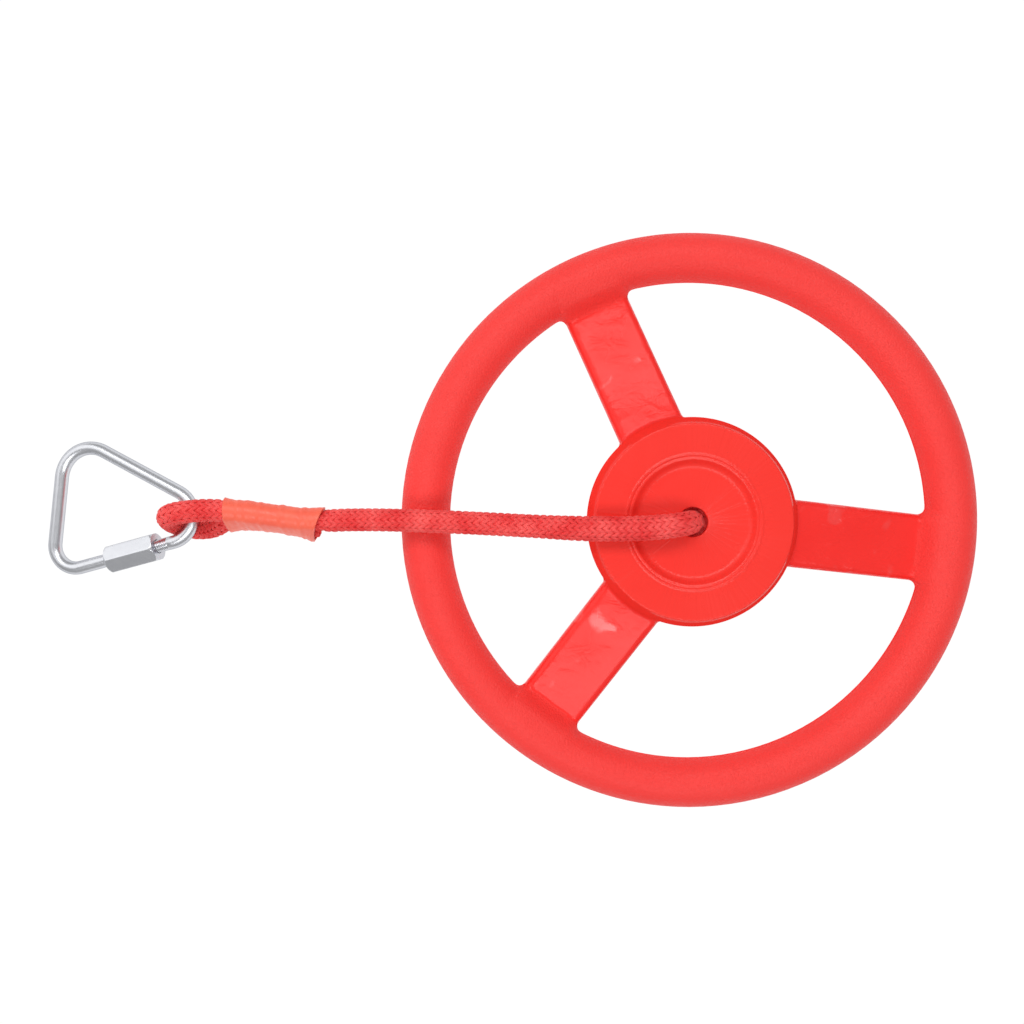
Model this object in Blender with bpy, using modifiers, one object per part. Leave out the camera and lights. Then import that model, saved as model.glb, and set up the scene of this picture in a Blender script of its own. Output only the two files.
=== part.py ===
"""Hanging spinning wheel for a children's climbing line.

A blow-moulded wheel with three dished spokes turns on a short braided rope.
The rope is knotted under the hub, comes up through the hub's hole and ends in
a lashed eye under a heat-shrink sleeve, and the eye holds a triangular
screw link. The wheel lies on its rim, with the rope laid over hub and rim.

Metres, +Z up. The origin is on the floor under the wheel's axle line.
"""
import bmesh
import bpy
from math import asin, atan2, cos, degrees, pi, radians, sin, sqrt, tan
from mathutils import Matrix, Vector

MM = 0.001
GAP = 0.3 * MM                       # clearance between touching pieces

# Rim: a round hollow tube bent to a ring
RIM_OUTER_DIAMETER = 300 * MM
TUBE_RADIUS = 12.75 * MM
RIM_RADIUS = RIM_OUTER_DIAMETER / 2 - TUBE_RADIUS
RIM_HEIGHT = TUBE_RADIUS             # height of the tube's centre above the floor
WALL = 2.5 * MM

# Hub: a drum raised above the rim, with a recess in each face and a web between
HUB_TOP = 35.25 * MM
HUB_TOP_RADIUS = 49.8 * MM
HUB_WIDEST_RADIUS = 53.5 * MM
HUB_SHOULDER = 28.2 * MM
HUB_SKIRT = 21.7 * MM
HUB_UNDERSIDE = 12.75 * MM
HUB_UNDERSIDE_RADIUS = 51.0 * MM
RECESS_RADIUS = 34.0 * MM
RECESS_FLOOR = 31.0 * MM
RECESS_FLOOR_RADIUS = 26.5 * MM
POCKET_RADIUS = 33.0 * MM
POCKET_FLOOR_RADIUS = 30.0 * MM
WEB_UNDERSIDE = 27.0 * MM
HOLE_RADIUS = 7.5 * MM
HUB_STEPS = 48

# Spokes: flat boxes that fall from the hub to the rim
SPOKE_HEADINGS = [radians(-6.6 + 120 * k) for k in range(3)]
SPOKE_HALF_WIDTH = 17.4 * MM
SPOKE_START = 47.0 * MM
SPOKE_CREASE = 119.4 * MM
SPOKE_END = 132.0 * MM
SPOKE_SLOPE = 1 / 6
SPOKE_TOP_AT_CREASE = 15.25 * MM
SPOKE_THICKNESS = 10.5 * MM
RAMP_END = 128.0 * MM
RAMP_TOP = 21.4 * MM
SPOKE_EDGE = 3.4 * MM
VENT_RADIUS = 2.5 * MM
VENT_PLACE = 44.0 * MM

# Washer and stopper knot under the web
WASHER_RADIUS = 17.0 * MM
WASHER_HOLE = 7.9 * MM
WASHER_THICKNESS = 2.0 * MM
KNOT_RADIUS = 17.5 * MM
KNOT_BOTTOM = 0.8 * MM

# Rope: one braided length, 12 mm across, pressed thinner under the sleeve
ROPE_DIAMETER = 12.0 * MM
PRESSED = 0.79                       # pressed rope's width as a share of the free width
BEND_ROUTE = [(0.0, 0.0, 31.0), (0.0, 0.0, 32.2), (-0.8, -0.2, 35.5), (-3.4, -0.6, 38.9), (-7.6, -1.1, 41.2),
              (-13.0, -1.7, 42.0)]
LEAD_ROUTE = [(-13.0, -1.7, 42.0), (-21.0, -2.4, 42.2), (-30.0, -2.9, 42.2), (-42.0, -3.1, 42.1),
              (-54.0, -3.0, 41.8), (-66.0, -2.6, 41.2), (-78.0, -2.0, 40.5), (-92.0, -1.3, 39.4),
              (-106.0, -0.6, 38.0), (-120.0, 0.0, 36.4), (-134.0, 0.5, 34.7), (-148.0, 0.9, 32.9),
              (-162.0, 1.1, 31.1), (-176.0, 1.0, 29.6)]
SLEEVE_LEAD = [(-187.0, 0.6, 28.8), (-200.0, 0.9, 28.3), (-213.0, 2.6, 28.0), (-226.0, 4.4, 27.9),
               (-240.0, 5.6, 28.2)]
EYE_ROUTE = [(-247.5, 5.9, 28.8), (-254.0, 5.6, 29.3), (-260.5, 4.9, 29.0), (-266.0, 3.9, 26.9), (-269.7, 2.6, 22.9),
             (-270.6, 1.0, 18.0), (-269.6, -0.9, 13.0), (-266.2, -2.7, 8.8), (-260.8, -3.9, 6.7),
             (-254.5, -3.9, 7.6), (-248.5, -2.7, 11.0), (-244.0, -0.6, 15.0)]
SLEEVE_TAIL = [(-239.5, 1.2, 18.2), (-226.0, 1.6, 18.0), (-213.0, 0.0, 18.2), (-200.0, -2.2, 18.6),
               (-191.5, -3.8, 18.9)]
SLEEVE_FROM, SLEEVE_TO = -188.0 * MM, -238.5 * MM
SLEEVE_WALL = 0.8 * MM
SLEEVE_STATIONS = 9
LASHING_DIAMETER = 0.8 * MM
LASHING_START, LASHING_PITCH, LASHING_TURNS = -203 * MM, 3.0 * MM, 7

# Screw link: a triangle of round wire, open under its nut
WIRE_DIAMETER = 7.0 * MM
LINK_SIDE = 110.0 * MM               # two long sides, corner to corner
LINK_BASE = 77.4 * MM
EYE_CORNER, BASE_CORNER_FAR, BASE_CORNER_NEAR = 14.0 * MM, 17.0 * MM, 12.0 * MM   # bend radii
LINK_APEX = Vector((-258.5, 1.2, 17.8)) * MM   # wire's centre where the rope's eye holds it
LINK_HEADING = radians(-6.1)
LINK_TILT = radians(10.5)
STUB_END = 53.6 * MM                 # both wire ends, measured from the sharp corner at the eye
ROD_END = 64.6 * MM
NUT_NEAR = 46.6 * MM
NUT_LENGTH = 28.0 * MM
NUT_ACROSS_FLATS = 14.0 * MM
NUT_CHAMFER = 1.2 * MM
NUT_ROLL = radians(24)


def start_scene(part_name):
    """Empty the scene and make one collection for the parts and one for the cutters."""
    for old in list(bpy.data.objects):
        bpy.data.objects.remove(old, do_unlink=True)
    collections = []
    for name in (part_name, "cutters"):
        collection = bpy.data.collections.new(name)
        bpy.context.scene.collection.children.link(collection)
        collections.append(collection)
    return collections


def make_material(name, colour, roughness, metallic=0.0):
    material = bpy.data.materials.new(name)
    material.use_nodes = True
    shader = material.node_tree.nodes["Principled BSDF"]
    shader.inputs["Base Color"].default_value = (*colour, 1.0)
    shader.inputs["Roughness"].default_value = roughness
    shader.inputs["Metallic"].default_value = metallic
    return material


def put_in(obj, collection):
    for old in list(obj.users_collection):
        old.objects.unlink(obj)
    collection.objects.link(obj)
    return obj


def as_helper(obj):
    obj.hide_render = True
    obj.display_type = "WIRE"
    return put_in(obj, CUTTERS)


def finish(obj, name, material, smooth_angle=35):
    """Name a part, give it its material and shade its round faces smooth."""
    obj.name = name
    obj.data.name = name
    obj.data.materials.clear()
    obj.data.materials.append(material)
    obj.data.shade_smooth()
    obj.data.set_sharp_from_angle(angle=radians(smooth_angle))
    return put_in(obj, PARTS)


def mesh_copy(obj):
    """Turn a curve or an object with modifiers into a plain welded mesh object."""
    graph = bpy.context.evaluated_depsgraph_get()
    mesh = bpy.data.meshes.new_from_object(obj.evaluated_get(graph))
    solid = bpy.data.objects.new(obj.name + "_mesh", mesh)
    solid.matrix_world = obj.matrix_world
    shape = bmesh.new()
    shape.from_mesh(mesh)
    bmesh.ops.remove_doubles(shape, verts=shape.verts, dist=0.001 * MM)
    bmesh.ops.recalc_face_normals(shape, faces=shape.faces)
    shape.to_mesh(mesh)
    shape.free()
    bpy.context.scene.collection.objects.link(solid)
    bpy.data.objects.remove(obj, do_unlink=True)
    return solid


def turned(name, profile, steps):
    """Turn a profile of (radius, height), listed down its outer side, about the Z axis."""
    mesh = bpy.data.meshes.new(name)
    points = [(r, 0.0, z) for r, z in profile]
    mesh.from_pydata(points, [(k, (k + 1) % len(points)) for k in range(len(points))], [])
    obj = bpy.data.objects.new(name, mesh)
    bpy.context.scene.collection.objects.link(obj)
    screw = obj.modifiers.new("turn", "SCREW")
    screw.steps = screw.render_steps = steps
    screw.use_merge_vertices = True
    screw.merge_threshold = 0.001 * MM
    bpy.context.view_layer.update()
    return mesh_copy(obj)


def slab(name, outline, half_thickness):
    """Thicken a flat outline of (x, y) points along its own Z."""
    curve = bpy.data.curves.new(name, "CURVE")
    curve.dimensions = "2D"
    curve.fill_mode = "BOTH"
    curve.extrude = half_thickness
    spline = curve.splines.new("POLY")
    spline.points.add(len(outline) - 1)
    for point, (x, y) in zip(spline.points, outline):
        point.co = (x, y, 0.0, 1.0)
    spline.use_cyclic_u = True
    obj = bpy.data.objects.new(name, curve)
    bpy.context.scene.collection.objects.link(obj)
    bpy.context.view_layer.update()
    return mesh_copy(obj)


def tube(name, points, radius, scales=None, closed=False, resolution=2):
    """A round bar along a list of points, with flat ends."""
    curve = bpy.data.curves.new(name, "CURVE")
    curve.dimensions = "3D"
    curve.bevel_depth = radius
    curve.bevel_resolution = resolution
    curve.use_fill_caps = not closed
    spline = curve.splines.new("POLY")
    spline.points.add(len(points) - 1)
    for index, point in enumerate(points):
        spline.points[index].co = (*point, 1.0)
        spline.points[index].radius = scales[index] if scales else 1.0
    spline.use_cyclic_u = closed
    obj = bpy.data.objects.new(name, curve)
    bpy.context.scene.collection.objects.link(obj)
    bpy.context.view_layer.update()
    return mesh_copy(obj)


def cut_or_join(target, other, operation):
    """Apply a Boolean of another mesh object to the target, and keep the other as a helper."""
    as_helper(other)
    boolean = target.modifiers.new(operation.lower(), "BOOLEAN")
    boolean.operation = operation
    boolean.solver = "EXACT"
    boolean.object = other
    return target


def flow(points, spacing):
    """Points along a smooth curve through the given points, one every spacing or so."""
    knots = [Vector(p) for p in points]
    knots = [2 * knots[0] - knots[1]] + knots + [2 * knots[-1] - knots[-2]]
    path = []
    for a, b, c, d in zip(knots, knots[1:], knots[2:], knots[3:]):
        count = max(1, round((c - b).length / spacing))
        for k in range(count):
            t = k / count
            path.append(0.5 * (2 * b + (c - a) * t + (2 * a - 5 * b + 4 * c - d) * t**2
                               + (3 * b - a - 3 * c + d) * t**3))
    path.append(knots[-2])
    return path


def in_mm(points):
    return [Vector(p) * MM for p in points]


# ---------------------------------------------------------------- wheel moulding

def ring_tube(name, radius, around, across):
    bpy.ops.mesh.primitive_torus_add(major_segments=around, minor_segments=across, major_radius=RIM_RADIUS,
                                     minor_radius=radius, location=(0, 0, RIM_HEIGHT))
    obj = bpy.context.object
    obj.name = name
    return obj


def hub_drum():
    """The drum as one turned profile: top face, drafted wall, underside, pocket, web and recess."""
    edge = 1.2 * MM
    cove_low, cove_high = 28.5 * MM, 32.5 * MM
    profile = [
        (RECESS_RADIUS, HUB_TOP), (HUB_TOP_RADIUS - edge, HUB_TOP), (HUB_TOP_RADIUS, HUB_TOP - 0.6 * edge),
        (HUB_WIDEST_RADIUS, HUB_SHOULDER), (HUB_WIDEST_RADIUS, HUB_SKIRT),
        (HUB_UNDERSIDE_RADIUS + edge, HUB_UNDERSIDE + edge), (HUB_UNDERSIDE_RADIUS, HUB_UNDERSIDE),
        (POCKET_RADIUS, HUB_UNDERSIDE), (POCKET_FLOOR_RADIUS, WEB_UNDERSIDE), (HOLE_RADIUS, WEB_UNDERSIDE),
        (HOLE_RADIUS, RECESS_FLOOR), (RECESS_FLOOR_RADIUS, RECESS_FLOOR), (cove_low, RECESS_FLOOR + 0.5 * MM),
        (cove_high, HUB_TOP - 0.9 * MM)]
    return turned("hub_drum", profile, HUB_STEPS)


def hub_cavity():
    """The ring-shaped hollow inside the drum."""
    top, bottom = HUB_TOP - WALL, HUB_UNDERSIDE + WALL
    inner = RECESS_RADIUS + WALL
    profile = [(inner, top), (HUB_TOP_RADIUS - WALL, top), (HUB_WIDEST_RADIUS - WALL, HUB_SHOULDER),
               (HUB_WIDEST_RADIUS - WALL, HUB_SKIRT), (HUB_UNDERSIDE_RADIUS - WALL, bottom), (inner, bottom)]
    return turned("hub_cavity", profile, HUB_STEPS)


def spoke_top(radius):
    return SPOKE_TOP_AT_CREASE + (SPOKE_CREASE - radius) * SPOKE_SLOPE


def spoke_solid(name, heading, inset):
    """One spoke: its side view, as distance from the axle against height, thickened across.

    With an inset it is the hollow inside, which reaches on into the rim's and the hub's.
    """
    start, end = SPOKE_START - inset, SPOKE_END + inset
    ramp_end = RAMP_END + 0.7 * inset
    side = [(start, spoke_top(start) - inset), (SPOKE_CREASE, SPOKE_TOP_AT_CREASE - inset),
            (ramp_end, RAMP_TOP - inset), (end, RAMP_TOP - inset),
            (end, spoke_top(end) - SPOKE_THICKNESS + inset), (start, spoke_top(start) - SPOKE_THICKNESS + inset)]
    spoke = slab(name, side, SPOKE_HALF_WIDTH - inset)
    spoke.matrix_world = Matrix.Rotation(heading, 4, "Z") @ Matrix.Rotation(pi / 2, 4, "X")
    if not inset:
        bevel = spoke.modifiers.new("rounded_edges", "BEVEL")
        bevel.width = SPOKE_EDGE
        bevel.segments = 2
        bevel.limit_method = "ANGLE"
        bevel.angle_limit = radians(60)
    return spoke


def make_wheel(material):
    """Rim, spokes and hub are one hollow moulding, vented under the hub."""
    wheel = ring_tube("wheel_moulding", TUBE_RADIUS, 60, 12)
    hollow = ring_tube("rim_hollow", TUBE_RADIUS - WALL, 48, 8)
    cut_or_join(wheel, hub_drum(), "UNION")
    cut_or_join(hollow, hub_cavity(), "UNION")
    for number, heading in enumerate(SPOKE_HEADINGS, 1):
        cut_or_join(wheel, spoke_solid(f"spoke_{number}", heading, 0.0), "UNION")
        cut_or_join(hollow, spoke_solid(f"spoke_hollow_{number}", heading, WALL), "UNION")
    cut_or_join(wheel, hollow, "DIFFERENCE")
    bpy.ops.mesh.primitive_cylinder_add(vertices=12, radius=VENT_RADIUS, depth=4 * WALL,
                                        location=(0, VENT_PLACE, HUB_UNDERSIDE))
    vent = bpy.context.object
    vent.name = "vent_drill"
    cut_or_join(wheel, vent, "DIFFERENCE")
    return finish(wheel, "wheel_moulding", material)


# ---------------------------------------------------------------- washer and knot

def make_washer(material):
    top = WEB_UNDERSIDE - GAP
    bottom = top - WASHER_THICKNESS
    ring = [(WASHER_HOLE, top), (WASHER_RADIUS, top), (WASHER_RADIUS, bottom), (WASHER_HOLE, bottom)]
    return finish(turned("hub_washer", ring, 32), "hub_washer", material)


def make_knot(material):
    """The knot's outer shape, with the rope's neck up through washer and web."""
    knot_top = WEB_UNDERSIDE - WASHER_THICKNESS - 2 * GAP
    middle, half_height = (knot_top + KNOT_BOTTOM) / 2, (knot_top - KNOT_BOTTOM) / 2
    neck = ROPE_DIAMETER / 2
    neck_angle = asin(neck / KNOT_RADIUS)
    profile = [(0.0, RECESS_FLOOR - GAP), (neck, RECESS_FLOOR - GAP)]
    for k in range(11):
        angle = neck_angle + (pi - neck_angle) * k / 10
        profile.append((KNOT_RADIUS * sin(angle), middle + half_height * cos(angle)))
    profile[-1] = (0.0, KNOT_BOTTOM)
    return finish(turned("stopper_knot", profile, 24), "stopper_knot", material)


# ---------------------------------------------------------------- rope

def make_rope(material):
    """The stretch that bends over the hub, then the lead, the eye and the tail as one length."""
    bend_path = flow(in_mm(BEND_ROUTE), 4 * MM)
    lead_path = flow(in_mm(LEAD_ROUTE + SLEEVE_LEAD + EYE_ROUTE + SLEEVE_TAIL), 14 * MM)
    seam = lead_path[0]
    ahead = (lead_path[1] - bend_path[-2]).normalized()
    bend_path[-1:] = [seam - ahead * 1.5 * MM, seam]
    lead_path[:1] = [seam + ahead * GAP, seam + ahead * 1.5 * MM]
    bend = tube("rope_bend", bend_path, ROPE_DIAMETER / 2)
    lead = tube("rope_lead", lead_path, ROPE_DIAMETER / 2, [rope_scale(point) for point in lead_path])
    return finish(bend, "rope_bend", material), finish(lead, "rope_lead", material)


def rope_scale(point):
    """Full width outside the sleeve, pressed inside it, with 6 mm of taper."""
    taper = 6 * MM
    inside = min(SLEEVE_FROM + taper / 2 - point.x, point.x - SLEEVE_TO + taper / 2) / taper
    return 1.0 - (1.0 - PRESSED) * max(0.0, min(1.0, inside))


def leg_places(x):
    """Centres of the two rope legs under the sleeve, as (y, z), at a given x."""
    places = []
    for leg in (SLEEVE_LEAD, SLEEVE_TAIL):
        knots = sorted(in_mm(leg), key=lambda p: p.x)
        x_in = min(max(x, knots[0].x), knots[-1].x)
        low, high = next((a, b) for a, b in zip(knots, knots[1:]) if a.x <= x_in <= b.x)
        places.append(low.lerp(high, (x_in - low.x) / (high.x - low.x)).yz)
    return places


def round_both_legs(x, offset, count=24):
    """A loop round both rope legs at x, standing off their surfaces."""
    upper, lower = leg_places(x)
    along = (upper - lower).normalized()
    across = Vector((along.y, -along.x))
    radius = ROPE_DIAMETER / 2 * PRESSED + offset
    loop = []
    for k in range(count):
        angle = 2 * pi * (k + 0.5) / count
        centre = upper if sin(angle) > 0 else lower
        place = centre + radius * (cos(angle) * across + sin(angle) * along)
        loop.append(Vector((x, place.x, place.y)))
    return loop


def make_lashing(material):
    """One length of strong thread, wound in a coil round the two legs of the eye."""
    steps = 16
    points = []
    for k in range(LASHING_TURNS * steps + 1):
        x = LASHING_START - LASHING_PITCH * k / steps
        loop = round_both_legs(x, GAP + LASHING_DIAMETER / 2, steps)
        points.append(loop[k % steps])
    return finish(tube("eye_lashing", points, LASHING_DIAMETER / 2, resolution=1), "eye_lashing", material)


def make_sleeve(material):
    """A wall lofted round the two legs, open at both ends."""
    inner_offset = 2 * GAP + LASHING_DIAMETER
    sleeve = bmesh.new()
    rings = []
    for k in range(SLEEVE_STATIONS):
        x = SLEEVE_FROM + (SLEEVE_TO - SLEEVE_FROM) * k / (SLEEVE_STATIONS - 1)
        rings.append([[sleeve.verts.new(p) for p in round_both_legs(x, offset)]
                      for offset in (inner_offset, inner_offset + SLEEVE_WALL)])
    count = len(rings[0][0])
    for near, far in zip(rings, rings[1:]):
        for wall in (0, 1):
            for k in range(count):
                sleeve.faces.new((near[wall][k], near[wall][(k + 1) % count],
                                  far[wall][(k + 1) % count], far[wall][k]))
    for end in (rings[0], rings[-1]):
        for k in range(count):
            sleeve.faces.new((end[0][k], end[0][(k + 1) % count], end[1][(k + 1) % count], end[1][k]))
    bmesh.ops.recalc_face_normals(sleeve, faces=sleeve.faces)
    mesh = bpy.data.meshes.new("heat_shrink_sleeve")
    sleeve.to_mesh(mesh)
    sleeve.free()
    obj = bpy.data.objects.new("heat_shrink_sleeve", mesh)
    bpy.context.scene.collection.objects.link(obj)
    return finish(obj, "heat_shrink_sleeve", material)


# ---------------------------------------------------------------- screw link

HALF_EYE_ANGLE = asin(LINK_BASE / 2 / LINK_SIDE)
APEX_TO_CORNER = EYE_CORNER * (1 / sin(HALF_EYE_ANGLE) - 1)


def link_frame():
    """Places the flat link: its own origin is the wire at the eye, its own -X points to the base."""
    turn = Matrix.Rotation(LINK_HEADING, 4, "Z") @ Matrix.Rotation(-LINK_TILT, 4, "Y")
    return Matrix.Translation(LINK_APEX) @ turn


def link_corners():
    """Sharp corners of the flat triangle: the eye's, then the base's near and far ones."""
    eye = Vector((APEX_TO_CORNER, 0.0, 0.0))
    reach = LINK_SIDE * cos(HALF_EYE_ANGLE)
    near = eye + Vector((-reach, -LINK_BASE / 2, 0.0))
    far = eye + Vector((-reach, LINK_BASE / 2, 0.0))
    return eye, near, far


def corner_arc(before, corner, after, radius, step=radians(13)):
    """Points along a bend of the given radius that rounds off a corner."""
    a, b = (before - corner).normalized(), (after - corner).normalized()
    half = a.angle(b) / 2
    centre = corner + (a + b).normalized() * radius / sin(half)
    first = corner + a * radius / tan(half) - centre
    turn = pi - 2 * half
    sign = 1 if first.cross(corner + b * radius / tan(half) - centre).z > 0 else -1
    count = max(2, round(turn / step))
    return [centre + Matrix.Rotation(sign * turn * k / count, 3, "Z") @ first for k in range(count + 1)]


def make_link(material):
    """Round wire from the stub inside the nut, by the eye and the base, back into the nut."""
    eye, near, far = link_corners()
    along = (near - eye).normalized()
    path = [eye + along * STUB_END]
    path += corner_arc(near, eye, far, EYE_CORNER)
    path += corner_arc(eye, far, near, BASE_CORNER_FAR)
    path += corner_arc(far, near, eye, BASE_CORNER_NEAR)
    path.append(eye + along * ROD_END)
    link = tube("link_body", path, WIRE_DIAMETER / 2, resolution=3)
    link.matrix_world = link_frame()
    return finish(link, "link_body", material)


def make_nut(material):
    """A long hexagon nut with chamfered ends, bored to slide over the wire."""
    eye, near, _ = link_corners()
    along = (near - eye).normalized()
    corner_radius = NUT_ACROSS_FLATS / sqrt(3)
    bpy.ops.mesh.primitive_cylinder_add(vertices=6, radius=corner_radius, depth=NUT_LENGTH)
    nut = bpy.context.object
    half = NUT_LENGTH / 2
    flat = NUT_ACROSS_FLATS / 2
    outer = [(0.0, half), (flat, half), (corner_radius + 0.5 * MM, half - NUT_CHAMFER),
             (corner_radius + 0.5 * MM, NUT_CHAMFER - half), (flat, -half), (0.0, -half)]
    cut_or_join(nut, turned("nut_blank", outer, 36), "INTERSECT")
    bpy.ops.mesh.primitive_cylinder_add(vertices=24, radius=WIRE_DIAMETER / 2 + GAP, depth=2 * NUT_LENGTH)
    bore = bpy.context.object
    bore.name = "nut_bore"
    cut_or_join(nut, bore, "DIFFERENCE")
    place = eye + along * (NUT_NEAR + half)
    facing = Matrix.Translation(place) @ along.to_track_quat("Z", "X").to_matrix().to_4x4()
    frame = link_frame() @ facing @ Matrix.Rotation(NUT_ROLL, 4, "Z")
    for name in ("nut_blank", "nut_bore"):
        helper = bpy.data.objects.get(name) or bpy.data.objects.get(name + "_mesh")
        helper.matrix_world = frame
    nut.matrix_world = frame
    return finish(nut, "link_nut", material)


PARTS, CUTTERS = start_scene("hanging_wheel")
RED_PLASTIC = make_material("red_plastic", (0.85, 0.045, 0.035), 0.42)
RED_ROPE = make_material("red_rope", (0.62, 0.03, 0.03), 0.75)
THREAD = make_material("white_thread", (0.8, 0.78, 0.74), 0.7)
SALMON = make_material("salmon_sleeve", (0.9, 0.15, 0.10), 0.45)
STEEL = make_material("zinc_steel", (0.75, 0.76, 0.78), 0.25, 1.0)
make_wheel(RED_PLASTIC)
make_washer(STEEL)
make_knot(RED_ROPE)
make_rope(RED_ROPE)
make_lashing(THREAD)
make_sleeve(SALMON)
make_link(STEEL)
make_nut(STEEL)
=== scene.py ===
# %% [markdown]
# # A hanging spinning wheel, laid flat
#
# A red blow-moulded wheel with three dished spokes lies on a white floor. A braided rope comes out of
# its hub, runs over the rim and holds a triangular screw link in an eye. Every place and size is in
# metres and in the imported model's own frame: the origin is on the floor under the wheel's axle line.

# %%
from math import acos, asin, cos, exp, pi, radians, sin, sqrt, tan

import bmesh
import bpy
import numpy as np
from mathutils import Matrix, Vector


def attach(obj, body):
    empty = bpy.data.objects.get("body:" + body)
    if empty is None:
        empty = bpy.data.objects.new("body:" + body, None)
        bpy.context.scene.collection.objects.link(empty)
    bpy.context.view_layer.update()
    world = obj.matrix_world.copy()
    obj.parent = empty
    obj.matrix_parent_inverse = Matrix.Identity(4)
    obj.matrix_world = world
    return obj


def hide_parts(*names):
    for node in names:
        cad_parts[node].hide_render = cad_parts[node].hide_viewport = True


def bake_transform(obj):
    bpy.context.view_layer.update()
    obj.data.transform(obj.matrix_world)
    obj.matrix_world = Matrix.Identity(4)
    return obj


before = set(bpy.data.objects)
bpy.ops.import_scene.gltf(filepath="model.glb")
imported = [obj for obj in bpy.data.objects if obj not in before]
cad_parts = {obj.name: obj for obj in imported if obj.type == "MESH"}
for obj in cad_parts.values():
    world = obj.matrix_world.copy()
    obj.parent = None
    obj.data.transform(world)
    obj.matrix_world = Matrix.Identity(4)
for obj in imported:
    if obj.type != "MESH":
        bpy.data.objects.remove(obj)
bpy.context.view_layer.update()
MM = 0.001

# %% [markdown]
# ## Helpers for node materials
#
# `new_material` gives a fresh Principled material, `add_node` adds one node and wires it up, and `feed`
# links the results to the shader, so that each material below reads from top to bottom.

# %%


def new_material(name, colour, roughness, metallic=0.0):
    material = bpy.data.materials.new(name)
    material.use_nodes = True
    shader = material.node_tree.nodes["Principled BSDF"]
    shader.inputs["Base Color"].default_value = (*colour, 1.0)
    shader.inputs["Roughness"].default_value = roughness
    shader.inputs["Metallic"].default_value = metallic
    return material, material.node_tree, shader


def add_node(tree, kind, links=None, **values):
    """Add a node, set its properties and sockets by name, and link other sockets into it."""
    node = tree.nodes.new(kind)
    for key, value in values.items():
        if hasattr(node, key):
            setattr(node, key, value)
        else:
            node.inputs[key.replace("_", " ").title()].default_value = value
    for socket, source in (links or {}).items():
        tree.links.new(source, node.inputs[socket])
    return node


def feed(tree, shader, sources):
    """Link each source to the shader's socket of that name."""
    for socket, source in sources.items():
        tree.links.new(source, shader.inputs[socket])


def object_coords(tree, scale=(1, 1, 1)):
    coords = add_node(tree, "ShaderNodeTexCoord")
    mapping = add_node(tree, "ShaderNodeMapping", {"Vector": coords.outputs["Object"]})
    mapping.inputs["Scale"].default_value = scale
    return mapping.outputs["Vector"]


def noise(tree, vector, scale, detail=3.0, distortion=0.0):
    return add_node(tree, "ShaderNodeTexNoise", {"Vector": vector}, scale=scale, detail=detail,
                    distortion=distortion).outputs["Fac"]


def spread(tree, source, low, high, to_low, to_high):
    """Map low..high to to_low..to_high, clamped."""
    node = add_node(tree, "ShaderNodeMapRange", {"Value": source})
    for socket, value in zip(("From Min", "From Max", "To Min", "To Max"), (low, high, to_low, to_high)):
        node.inputs[socket].default_value = value
    return node.outputs["Result"]


def multiply(tree, first, second):
    node = add_node(tree, "ShaderNodeMath", {0: first}, operation="MULTIPLY")
    if isinstance(second, (int, float)):
        node.inputs[1].default_value = second
    else:
        tree.links.new(second, node.inputs[1])
    return node.outputs["Value"]


def bump(tree, height, distance, strength=1.0, under=None):
    node = add_node(tree, "ShaderNodeBump", {"Height": height}, distance=distance, strength=strength)
    if under is not None:
        tree.links.new(under, node.inputs["Normal"])
    return node.outputs["Normal"]


def mix_colours(tree, factor, first, second):
    node = add_node(tree, "ShaderNodeMix", {0: factor}, data_type="RGBA")
    node.inputs[6].default_value = (*first, 1.0)
    node.inputs[7].default_value = (*second, 1.0)
    return node.outputs[2]


# %% [markdown]
# ## Camera and light
#
# The camera looks down from above. Two long softboxes stand beyond and before the wheel, so that the
# two left spokes mirror them and the right spoke stays dark. A wide one at the left is mirrored by the
# link's nut. The floor gives off its own light, so it is white and takes no shadow.

# %%
CAMERA_PLACE = (-0.0871, 0.0153, 0.5928)
CAMERA_TURN = (radians(-1.04), radians(0.49), 0.0)
CAMERA_LENS = 38.9
LIGHT_AIM = Vector((-0.05, 0, 0))
SOFTBOXES = {   # place, size and power
    "softbox_far": ((-0.1, 0.75, 1.35), (1.6, 0.5), 9.3),
    "softbox_near": ((-0.1, -0.75, 1.35), (1.6, 0.5), 8.5),
    "softbox_left": ((-1.5, 0.68, 1.0), (1.4, 1.8), 7.2)}
WORLD_STRENGTH = 0.41
FLOOR_SIZE, FLOOR_DROP = 6.0, 0.2 * MM


def make_camera():
    camera = bpy.data.objects.new("camera", bpy.data.cameras.new("camera"))
    bpy.context.scene.collection.objects.link(camera)
    camera.data.lens = CAMERA_LENS
    camera.data.sensor_width = 36.0
    camera.location = CAMERA_PLACE
    camera.rotation_euler = CAMERA_TURN
    camera.data.clip_start = 0.01
    bpy.context.scene.camera = camera


def make_softbox(name, place, size, power):
    light = bpy.data.lights.new(name, "AREA")
    light.shape = "RECTANGLE"
    light.size, light.size_y = size
    light.energy = power
    lamp = bpy.data.objects.new(name, light)
    lamp.location = place
    lamp.rotation_euler = (LIGHT_AIM - Vector(place)).to_track_quat("-Z", "Y").to_euler()
    bpy.context.scene.collection.objects.link(lamp)


def make_floor():
    bpy.ops.mesh.primitive_plane_add(size=FLOOR_SIZE, location=(0, 0, -FLOOR_DROP))
    floor = bpy.context.object
    floor.name = "floor"
    material, _, shader = new_material("white_floor", (0.02, 0.02, 0.02), 0.9)
    shader.inputs["Specular IOR Level"].default_value = 0.1
    shader.inputs["Emission Color"].default_value = (1, 1, 1, 1)
    shader.inputs["Emission Strength"].default_value = 1.0
    floor.data.materials.append(material)


def make_world():
    world = bpy.data.worlds.new("studio")
    bpy.context.scene.world = world
    world.use_nodes = True
    background = world.node_tree.nodes["Background"]
    background.inputs["Color"].default_value = (1, 1, 1, 1)
    background.inputs["Strength"].default_value = WORLD_STRENGTH


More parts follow.
